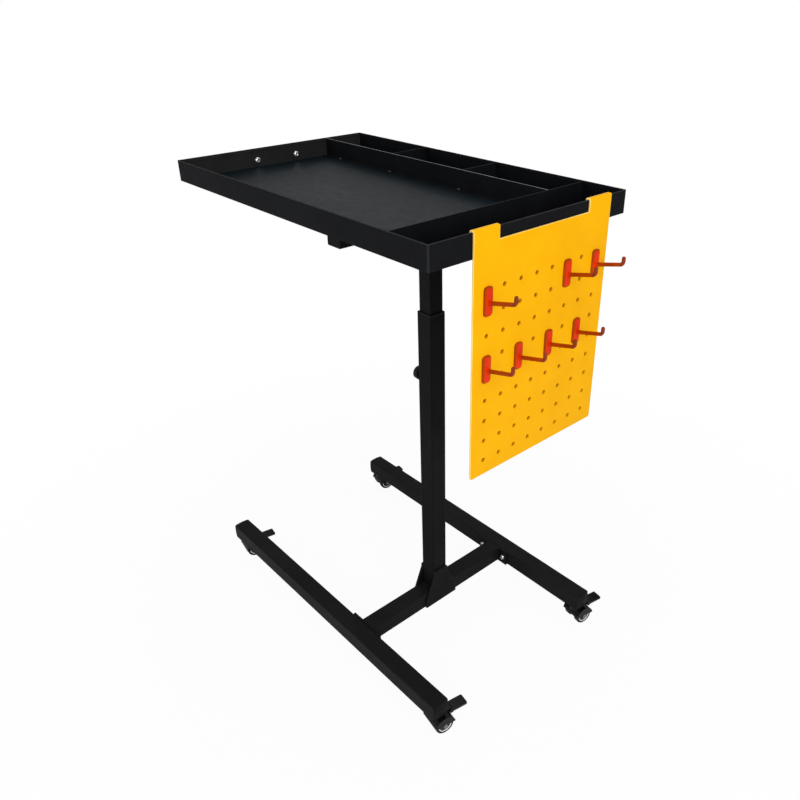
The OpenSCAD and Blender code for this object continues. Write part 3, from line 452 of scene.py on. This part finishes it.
weld = {"radius": 2.2 * mm, "pitch": 2.4 * mm, "swell": 0.35 * mm, "corners": 10, "out": 1.2 * mm,
        "endShare": 0.45, "minSteps": 4, "footInset": 2 * mm, "inset": 3 * mm, "flangeSink": 0.8 * mm}


def addWeld(bm, start, end):
    # A painted bead, swelling at each ripple
    reach = Vector(end) - Vector(start)
    steps = max(weld["minSteps"], 2 * round(reach.length / weld["pitch"]))
    rings = []
    for step in range(steps + 1):
        taper = weld["endShare"] if step in (0, steps) else 1
        swell = weld["swell"] if step % 2 else 0
        rings.append((placeAlong(Vector(start) + reach * step / steps, reach),
                      (weld["radius"] + swell) * taper, weld["corners"]))
    loft(bm, rings)


# The beads stay clear of the column's bore, where the glide passes
bm = bmesh.new()
columnLow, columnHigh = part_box("outer_column")
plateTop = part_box("left_cheek_plate")[1].z
for y in (columnLow.y - weld["out"], columnHigh.y + weld["out"]):
    addWeld(bm, (columnLow.x + weld["footInset"], y, columnLow.z),
            (columnHigh.x - weld["footInset"], y, columnLow.z))
for x in (columnLow.x - weld["out"], columnHigh.x + weld["out"]):
    addWeld(bm, (x, columnLow.y + weld["inset"], plateTop), (x, columnHigh.y - weld["inset"], plateTop))
crossLow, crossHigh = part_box("crossbar")
for y in (crossLow.y, crossHigh.y):
    inner = y + (weld["flangeSink"] if y < 0 else -weld["flangeSink"])
    for x in (crossLow.x, crossHigh.x):
        addWeld(bm, (x, inner, crossLow.z + weld["inset"]), (x, inner, crossHigh.z - weld["inset"]))
finishPiece("foot_welds", bm, [], ["black_coat"], smoothAngle=60, body="base")
print("column and base ready")


# Casters: glossy hoods, turned wheels, brake pedals with grip ribs

wheel = {"radius": 20 * mm, "half": 7 * mm, "shoulder": 3 * mm, "rim": 16 * mm, "dish": 1.6 * mm,
         "nave": 8 * mm, "bore": 3.05 * mm, "groove": 0.5 * mm, "offset": 15.5 * mm, "steps": 56,
         "edge": 0.6 * mm, "naveSlope": 0.4 * mm, "lip": 0.5 * mm, "shoulderSteps": 5,
         "trim": (12.4 * mm, 14.6 * mm), "trimEdge": 0.4 * mm, "trimDepth": 0.4 * mm}
pedal = {"ribs": 4, "ribGap": 4 * mm, "ribHeight": 0.8 * mm, "ribWidth": 1.2 * mm, "ribLength": 17 * mm,
         "firstRib": 33 * mm, "sink": 2.5 * mm, "edge": 0.9 * mm}


def wheelOutline():
    # Half outline from the bore to the tread's middle, mirrored by the caller
    half, shoulder, edge, lip = wheel["half"], wheel["shoulder"], wheel["edge"], wheel["lip"]
    nave, rim, radius = wheel["nave"], wheel["rim"], wheel["radius"]
    (trimIn, trimOut), trimEdge = wheel["trim"], wheel["trimEdge"]
    dished, trimSide = half - wheel["dish"], half - wheel["trimDepth"]
    points = [(wheel["bore"], half), (nave - edge, half), (nave, half - edge),
              (nave + wheel["naveSlope"], dished), (trimIn, dished), (trimIn + trimEdge, trimSide),
              (trimOut - trimEdge, trimSide), (trimOut, dished), (rim - edge, dished),
              (rim, half - lip), (rim + lip, half)]
    for step in range(wheel["shoulderSteps"] + 1):
        slope = math.pi / 2 * step / wheel["shoulderSteps"]
        points.append((radius - shoulder + shoulder * math.sin(slope),
                       half - shoulder + shoulder * math.cos(slope)))
    points += [(radius, wheel["groove"]), (radius - wheel["groove"], 0)]
    return points


def addWheel(bm, offset):
    outline = wheelOutline()
    outline += [(radius, -half) for radius, half in reversed(outline[:-1])]
    verts = [bm.verts.new((offset + half, radius, 0)) for radius, half in outline]
    edges = [bm.edges.new(pair) for pair in zip(verts, verts[1:] + verts[:1])]
    bmesh.ops.spin(bm, geom=verts + edges, cent=(0, 0, 0), axis=(1, 0, 0), angle=math.tau,
                   steps=wheel["steps"], use_merge=True)


for side in sides:
    axle = jointOf[side + "_roll"]
    across = Vector(axle["axis"])
    turn = Matrix((across, alongZ.cross(across), alongZ)).transposed().to_4x4()
    stand = Matrix.Translation(axle["pos_m"]) @ turn
    bm = bmesh.new()
    for offset in (-wheel["offset"], wheel["offset"]):
        addWheel(bm, offset)
    # Faces in the ring band on each wheel's side take the white look
    for face in bm.faces:
        reach = face.calc_center_median().yz.length
        if wheel["trim"][0] < reach < wheel["trim"][1]:
            face.material_index = 1
    bmesh.ops.transform(bm, matrix=stand, verts=bm.verts)
    finishPiece(side + "_tyres", bm, [side + "_wheels"], ["tyre_black", "wheel_white_ring"], smoothAngle=40)
    # The hood's and pedal's rounded edges take the second look, a painted highlight
    coverNode(side + "_hood", pedal["edge"], ["gloss_black", "rim_highlight"], segments=3, angle=40)
    paintNode(side + "_axle", "dark_zinc")

    bm = copyNode(side + "_brake_pedal")
    roundEdges(bm, pedal["edge"], segments=3, angle=40, edgeLook=1)
    hinge = jointOf[side + "_brake"]
    forward = alongZ.cross(across)
    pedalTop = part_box(side + "_brake_pedal")[1].z - pedal["sink"]
    for rib in range(pedal["ribs"]):
        place = Vector(hinge["pos_m"]) + forward * (pedal["firstRib"] - rib * pedal["ribGap"])
        place.z = pedalTop
        addBox(bm, place, (pedal["ribLength"], pedal["ribWidth"], 2 * pedal["ribHeight"]), turn)
    finishPiece(side + "_pedal_skin", bm, [side + "_brake_pedal"], ["gloss_black", "rim_highlight"])
print("casters ready")


# Pegboard: punched sheet with rounded folds

board = {"fold": 2.6 * mm, "edge": 1 * mm, "holeEdge": 0.4 * mm, "frame": 8 * mm, "tabHeight": 28 * mm,
         "nearLevel": 0.1 * mm, "longEdge": 10 * mm, "straight": 0.01 * mm, "sideways": 0.5}
bm = copyNode("pegboard")
low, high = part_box("pegboard")


def inField(place):
    # The field of peg holes, inside the sheet's outline
    return (low.y + board["frame"] < place.y < high.y - board["frame"]
            and low.z + board["frame"] < place.z < high.z - board["tabHeight"])


def isFold(edge):
    first, second = (vert.co for vert in edge.verts)
    level = all(abs(place.z - high.z) < board["nearLevel"] for place in (first, second))
    alongTab = abs(first.x - second.x) < board["straight"] and abs(first.y - second.y) > board["longEdge"]
    return level and alongTab


def isHoleEdge(edge):
    return inField((edge.verts[0].co + edge.verts[1].co) / 2)


boardLooks = ["yellow_coat", "yellow_highlight"]
roundEdges(bm, board["fold"], segments=5, chosen=isFold)
roundEdges(bm, board["holeEdge"], angle=40, edgeLook=0, chosen=isHoleEdge)
# The outline's rounded edges take the paler look, a painted highlight
roundEdges(bm, board["edge"], segments=3, angle=40, edgeLook=1, chosen=lambda edge: not isHoleEdge(edge))
bm.normal_update()
for face in bm.faces:
    # Cut edges and the fold's back corner take a paler look, a painted highlight; the walls of the peg holes don't
    middle = face.calc_center_median()
    onFold = middle.z > high.z - board["fold"] and abs(face.normal.y) < board["sideways"]
    backCorner = onFold and middle.x < low.x + board["fold"]
    cutEdge = abs(face.normal.x) < board["sideways"] and not inField(middle) and not onFold
    if backCorner or cutEdge:
        face.material_index = boardLooks.index("yellow_highlight")
    elif onFold:
        face.material_index = boardLooks.index("yellow_coat")
finishPiece("pegboard_skin", bm, ["pegboard"], boardLooks)
# The sheet behind the board is painted shade seen through the peg holes
paintNode("board_backing", "ochre_shade_sheet")

# Hooks: crowned plate, flared arm with a swept bend, two pegs
# In root, each flared ring's distance from the board and its radius

hook = {"plateWidth": 18 * mm, "plateHeight": 48 * mm, "plateDepth": 3 * mm, "corner": 6 * mm,
        "cornerSteps": 6, "frontReach": 2 * mm, "crown": 1.6 * mm, "slope": 3.2 * mm, "edge": 0.6 * mm,
        "rimTilt": 0.93, "rootDrop": 3 * mm, "redRoot": 9 * mm, "darkTip": 54 * mm, "rise": 14 * mm,
        "axisReach": 58 * mm, "armRadius": 3.3 * mm, "bend": 7 * mm, "bendSteps": 7, "tipHeight": 14 * mm,
        "tipSteps": 5, "tipDome": 0.98, "tipEnd": 0.3 * mm, "corners": 20, "pegRadius": 3.9 * mm,
        "pegPitch": 38 * mm, "pegRoot": 1 * mm, "pegTail": 7 * mm, "pegEndShare": 0.8,
        "root": [(1 * mm, 5.2 * mm), (3.4 * mm, 5.2 * mm), (4.4 * mm, 4.2 * mm), (6.5 * mm, 3.7 * mm),
                 (10 * mm, 3.5 * mm)]}


def armPath(root):
    # Places and directions of the arm's rings, with the radius at each
    slope = math.atan2(hook["rise"], hook["axisReach"])
    bend, radius = hook["bend"], hook["armRadius"]
    centreX = hook["axisReach"] - bend
    start = centreX + bend * math.sin(slope)
    straight = lambda x: root + Vector((x, 0, x * math.tan(slope)))
    ahead = Vector((math.cos(slope), 0, math.sin(slope)))
    rings = [(straight(x), ahead, flare) for x, flare in hook["root"]]
    corner = straight(start) + bend * Vector((-math.sin(slope), 0, math.cos(slope)))
    for step in range(hook["bendSteps"] + 1):
        angle = slope + (math.pi / 2 - slope) * step / hook["bendSteps"]
        place = corner + bend * Vector((math.sin(angle), 0, -math.cos(angle)))
        rings.append((place, Vector((math.cos(angle), 0, math.sin(angle))), radius))
    top = root.z + hook["rise"] + hook["tipHeight"]
    for step in range(hook["tipSteps"] + 1):
        angle = math.pi / 2 * step / hook["tipSteps"]
        height = top - radius + radius * math.sin(angle) * hook["tipDome"]
        rings.append((Vector((corner.x + bend, root.y, height)), alongZ,
                      max(radius * math.cos(angle), hook["tipEnd"])))
    return rings


for nodeName in hookNodes:
    low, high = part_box(nodeName)
    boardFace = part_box("pegboard")[1].x
    middle = Vector((boardFace, (low.y + high.y) / 2, (low.z + high.z) / 2))
    bm = bmesh.new()
    addBox(bm, middle + Vector((hook["plateDepth"] / 2, 0, 0)),
           (hook["plateDepth"], hook["plateWidth"], hook["plateHeight"]))
    corners = [edge for edge in bm.edges if abs(edge.verts[0].co.x - edge.verts[1].co.x) > mm]
    bmesh.ops.bevel(bm, geom=corners, offset=hook["corner"], offset_type="OFFSET", affect="EDGES",
                    segments=hook["cornerSteps"], profile=0.5, material=-1)
    front = [face for face in bm.faces if face.normal.x > facing
             and face.calc_center_median().x > middle.x + hook["frontReach"]]
    bmesh.ops.inset_region(bm, faces=front, thickness=hook["slope"], depth=hook["crown"],
                           use_even_offset=True)
    roundEdges(bm, hook["edge"], segments=3, angle=25)
    root = middle - Vector((0, 0, hook["rootDrop"]))
    bm.normal_update()
    plateFaces = set(bm.faces)
    # Faces off the plate's front take the darker arm look, painted shade on the plate's rim
    for face in plateFaces:
        face.material_index = 0 if face.normal.x > hook["rimTilt"] else 1
    loft(bm, [(placeAlong(place, direction), radius, hook["corners"])
              for place, direction, radius in armPath(root)])
    for face in set(bm.faces) - plateFaces:
        # Red at the root, then the arm's darker look as painted shade, then the tip's darker one as painted shade
        along = face.calc_center_median().x - middle.x
        face.material_index = int(along > hook["redRoot"]) + int(along > hook["darkTip"])
    for end in (-1, 1):
        peg = middle + Vector((0, 0, end * hook["pegPitch"] / 2))
        steps = ((hook["pegRoot"], 1), (hook["pegRoot"] - hook["pegTail"], 1),
                 (-hook["pegTail"], hook["pegEndShare"]))
        loft(bm, [(placeAlong(peg + Vector((x, 0, 0)), -alongX), hook["pegRadius"] * share, hook["corners"])
                  for x, share in steps])
    finishPiece(nodeName + "_moulded", bm, [nodeName], ["hook_red", "hook_arm_shade", "hook_tip_shade"],
                smoothAngle=40)
print("pegboard and hooks ready")


# Studio: pale floor, white surroundings, soft lamps

studio = {"floorSize": 14, "floorTone": 0.82, "glowNear": 0.95, "glowFar": 1, "nearRadius": 0.6,
          "farRadius": 1.4, "ambient": 0.42, "lampAim": (0, 0, 0.6),
          "lamps": [("key", (2.6, -0.9, 1.9), 1.5, 50), ("front", (-0.9, -2.6, 1.5), 1.4, 18),
                    ("top", (-0.2, 0.2, 3.0), 1.8, 16), ("rim", (-1.9, 1.7, 3.0), 2.2, 8)]}


def whiteShare(tree):
    return tree.nodes.new("ShaderNodeLightPath").outputs["Is Camera Ray"]


bm = bmesh.new()
bmesh.ops.create_grid(bm, x_segments=1, y_segments=1, size=studio["floorSize"] / 2)
floorMesh = bpy.data.meshes.new("floor")
bm.to_mesh(floorMesh)
bm.free()
floor = bpy.data.objects.new("floor", floorMesh)
bpy.context.scene.collection.objects.link(floor)
floorLook = bpy.data.materials.new("pale_floor")
floorLook.use_nodes = True
tree = floorLook.node_tree
tree.nodes.clear()
diffuse = tree.nodes.new("ShaderNodeBsdfDiffuse")
glow = tree.nodes.new("ShaderNodeEmission")
blend = tree.nodes.new("ShaderNodeMixShader")
output = tree.nodes.new("ShaderNodeOutputMaterial")
scale = tree.nodes.new("ShaderNodeMath")
scale.operation = "MULTIPLY"
spot = tree.nodes.new("ShaderNodeTexCoord")
reach = tree.nodes.new("ShaderNodeVectorMath")
reach.operation = "LENGTH"
tree.links.new(spot.outputs["Object"], reach.inputs[0])
glowShare = addRange(tree, reach.outputs["Value"], studio["glowNear"], studio["glowFar"],
                     studio["nearRadius"], studio["farRadius"])
tree.links.new(glowShare, scale.inputs[1])
diffuse.inputs["Color"].default_value = (*[studio["floorTone"]] * 3, 1)
tree.links.new(whiteShare(tree), scale.inputs[0])
tree.links.new(scale.outputs["Value"], blend.inputs["Fac"])
tree.links.new(diffuse.outputs["BSDF"], blend.inputs[1])
tree.links.new(glow.outputs["Emission"], blend.inputs[2])
tree.links.new(blend.outputs["Shader"], output.inputs["Surface"])
floorMesh.materials.append(floorLook)

world = bpy.data.worlds.new("studio")
bpy.context.scene.world = world
world.use_nodes = True
tree = world.node_tree
soft = tree.nodes["Background"]
soft.inputs["Color"].default_value = (1, 1, 1, 1)
soft.inputs["Strength"].default_value = studio["ambient"]
white = tree.nodes.new("ShaderNodeBackground")
white.inputs["Color"].default_value = (1, 1, 1, 1)
blend = tree.nodes.new("ShaderNodeMixShader")
tree.links.new(whiteShare(tree), blend.inputs["Fac"])
tree.links.new(soft.outputs["Background"], blend.inputs[1])
tree.links.new(white.outputs["Background"], blend.inputs[2])
tree.links.new(blend.outputs["Shader"], tree.nodes["World Output"].inputs["Surface"])

for name, place, size, power in studio["lamps"]:
    lamp = bpy.data.lights.new(name, "AREA")
    lamp.size = size
    lamp.energy = power
    holder = bpy.data.objects.new(name, lamp)
    holder.location = place
    holder.rotation_mode = "QUATERNION"
    holder.rotation_quaternion = (Vector(studio["lampAim"]) - Vector(place)).to_track_quat("-Z", "Y")
    bpy.context.scene.collection.objects.link(holder)

shot = {"place": (1.106, -0.90465, 1.3062), "aim": (-0.64151, 0.5887, -0.49184), "roll": -0.161,
        "sensor": 36, "lens": 34.04, "shift": (-0.0566, 0.0064)}
cameraData = bpy.data.cameras.new("camera")
cameraData.sensor_width = shot["sensor"]
cameraData.lens = shot["lens"]
cameraData.shift_x, cameraData.shift_y = shot["shift"]
camera = bpy.data.objects.new("camera", cameraData)
camera.location = shot["place"]
camera.rotation_mode = "QUATERNION"
camera.rotation_quaternion = (Vector(shot["aim"]).to_track_quat("-Z", "Y")
                              @ Quaternion((0, 0, 1), math.radians(shot["roll"])))
bpy.context.scene.collection.objects.link(camera)
bpy.context.scene.camera = camera
bpy.context.scene.view_settings.view_transform = "Standard"
print("studio ready")
